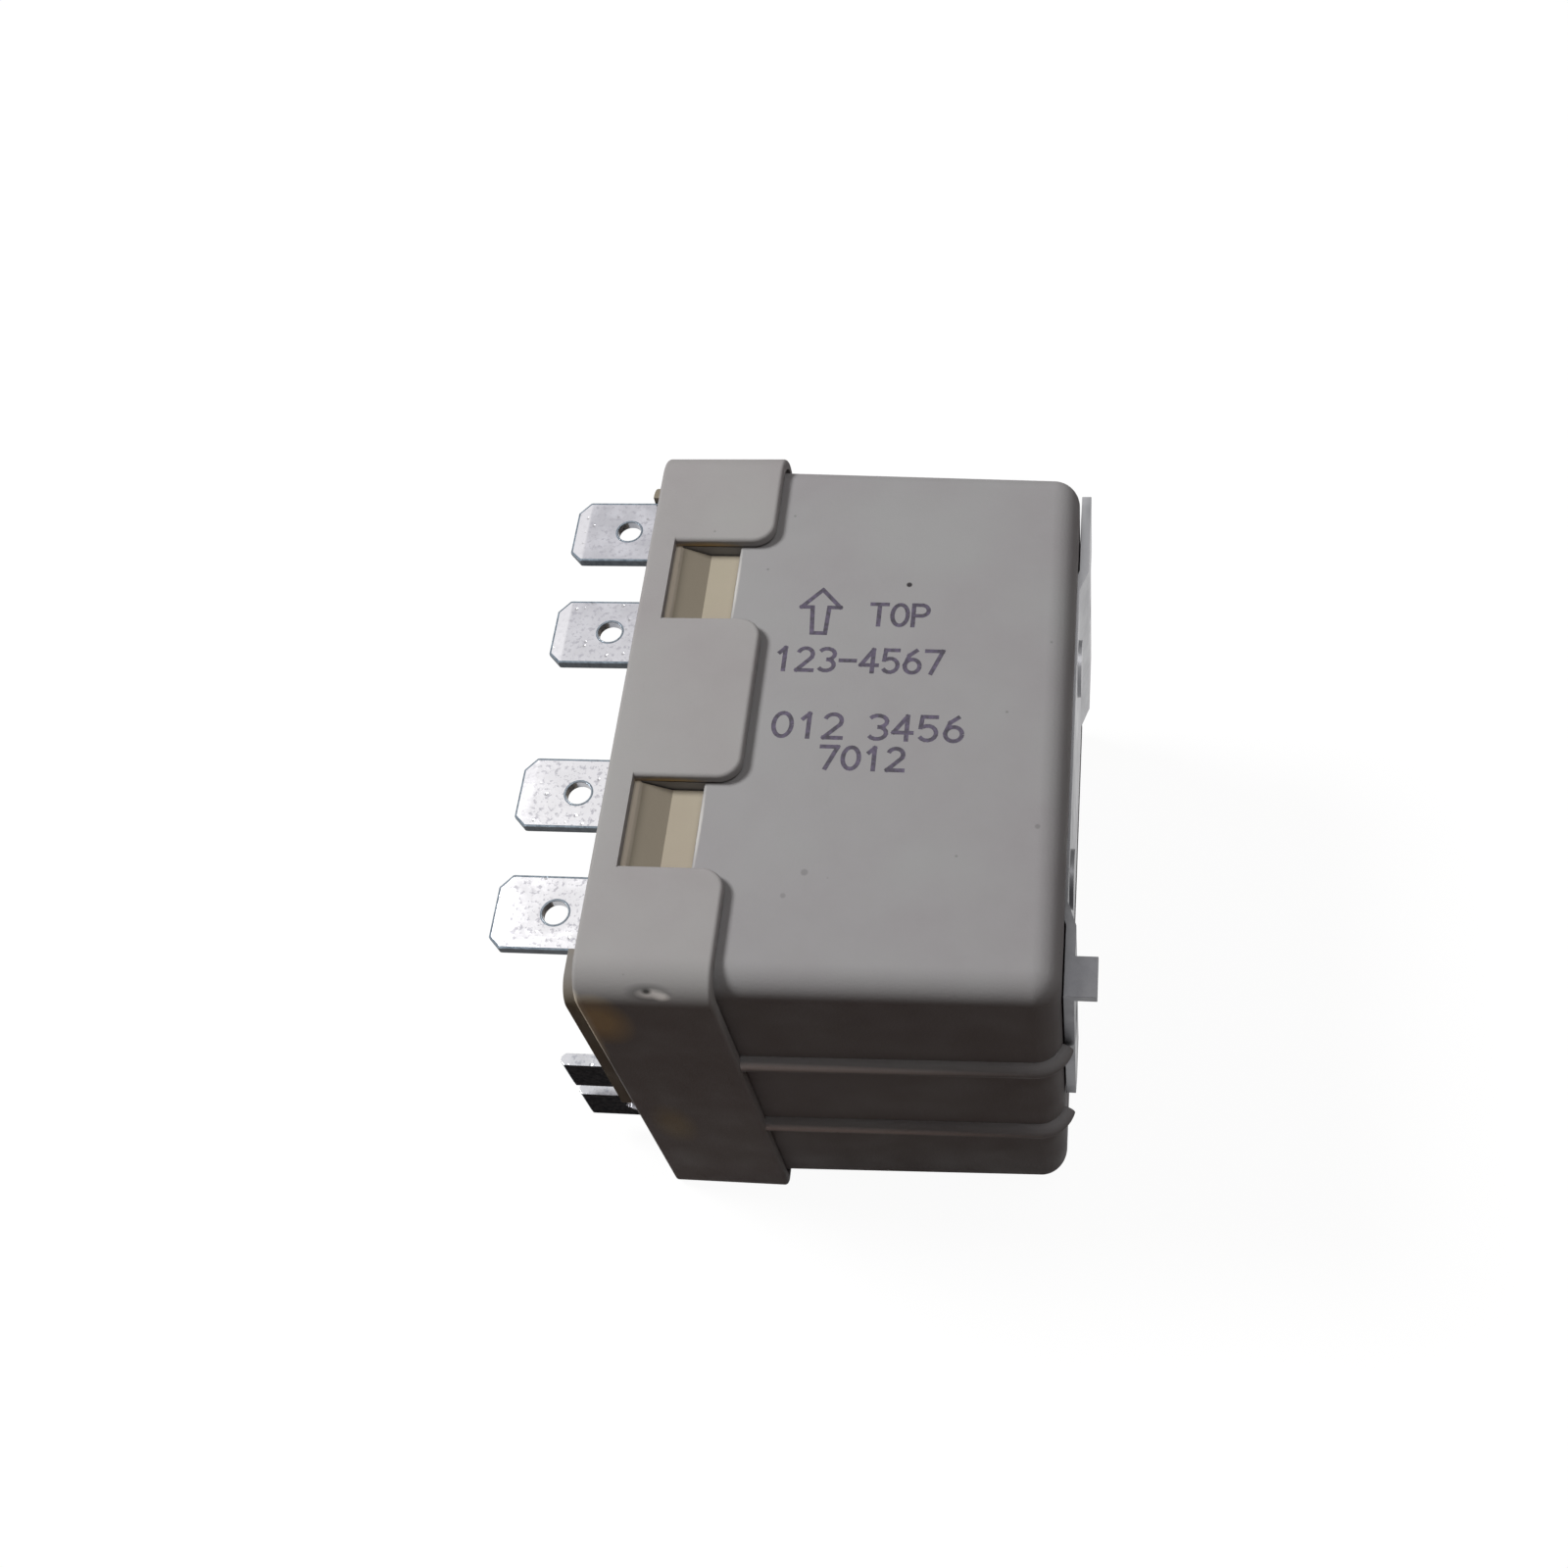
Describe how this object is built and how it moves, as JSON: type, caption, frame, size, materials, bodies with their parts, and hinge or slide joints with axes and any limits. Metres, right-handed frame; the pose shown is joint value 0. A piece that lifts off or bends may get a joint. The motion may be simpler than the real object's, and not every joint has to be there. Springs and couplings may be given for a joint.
{
  "type": "compressor start relay",
  "caption": "Compact moulded compressor start relay with blade terminals on one side and a rear steel mounting plate.",
  "frame": {"origin": "bottom centre of the overall box, under the cover's underside", "axes": "+X from the blade terminals to the rear mounting plate, +Y the way the arrow on the big face points, +Z out of the big face"},
  "size_m": [0.046, 0.0512, 0.0418],
  "materials": {
    "housing_phenolic": "matt moulded phenolic",
    "cover_phenolic": "matt moulded phenolic",
    "carrier_plastic": "matt cream moulding",
    "tinned_brass": "tin-plated brass",
    "plated_steel": "zinc-plated steel",
    "soft_iron": "plain iron",
    "spring_steel": "drawn wire",
    "bobbin_nylon": "natural nylon",
    "enamelled_wire": "enamelled copper wire",
    "coil_tape": "polyester tape",
    "lead_wire": "enamelled copper",
    "contact_bronze": "rolled phosphor bronze",
    "contact_silver": "silver contact"
  },
  "bodies": {
    "relay": {"housing": "housing_phenolic", "terminal_cover": "cover_phenolic", "terminal_carrier": "carrier_plastic", "terminal_1": "tinned_brass", "terminal_2": "tinned_brass", "terminal_3": "tinned_brass", "terminal_4": "tinned_brass", "terminal_5": "tinned_brass", "terminal_6": "tinned_brass", "bobbin": "bobbin_nylon", "winding": "enamelled_wire", "winding_tape": "coil_tape", "core": "soft_iron", "coil_lead_1": "lead_wire", "coil_lead_2": "lead_wire", "yoke": "plated_steel", "fixed_contact": "contact_silver", "hinge_pin": "plated_steel", "frame_strap": "contact_bronze", "return_spring": "spring_steel", "mounting_plate": "plated_steel", "mounting_rivets": "plated_steel"},
    "armature_assembly": {"armature": "soft_iron", "contact_arm": "contact_bronze", "contact_arm_rivets": "contact_bronze", "moving_contact": "contact_silver"}
  },
  "joints": [
    {"name": "armature_hinge", "type": "hinge", "parent": "relay", "child": "armature_assembly", "pos_m": [0.00663, 0.00715, 0.0284], "axis": [1, 0, 0], "range_deg": [-3, 0], "stiffness_Nm_per_rad": 0.02, "springref_deg": 5.73, "deforming": ["return_spring"]}
  ]
}
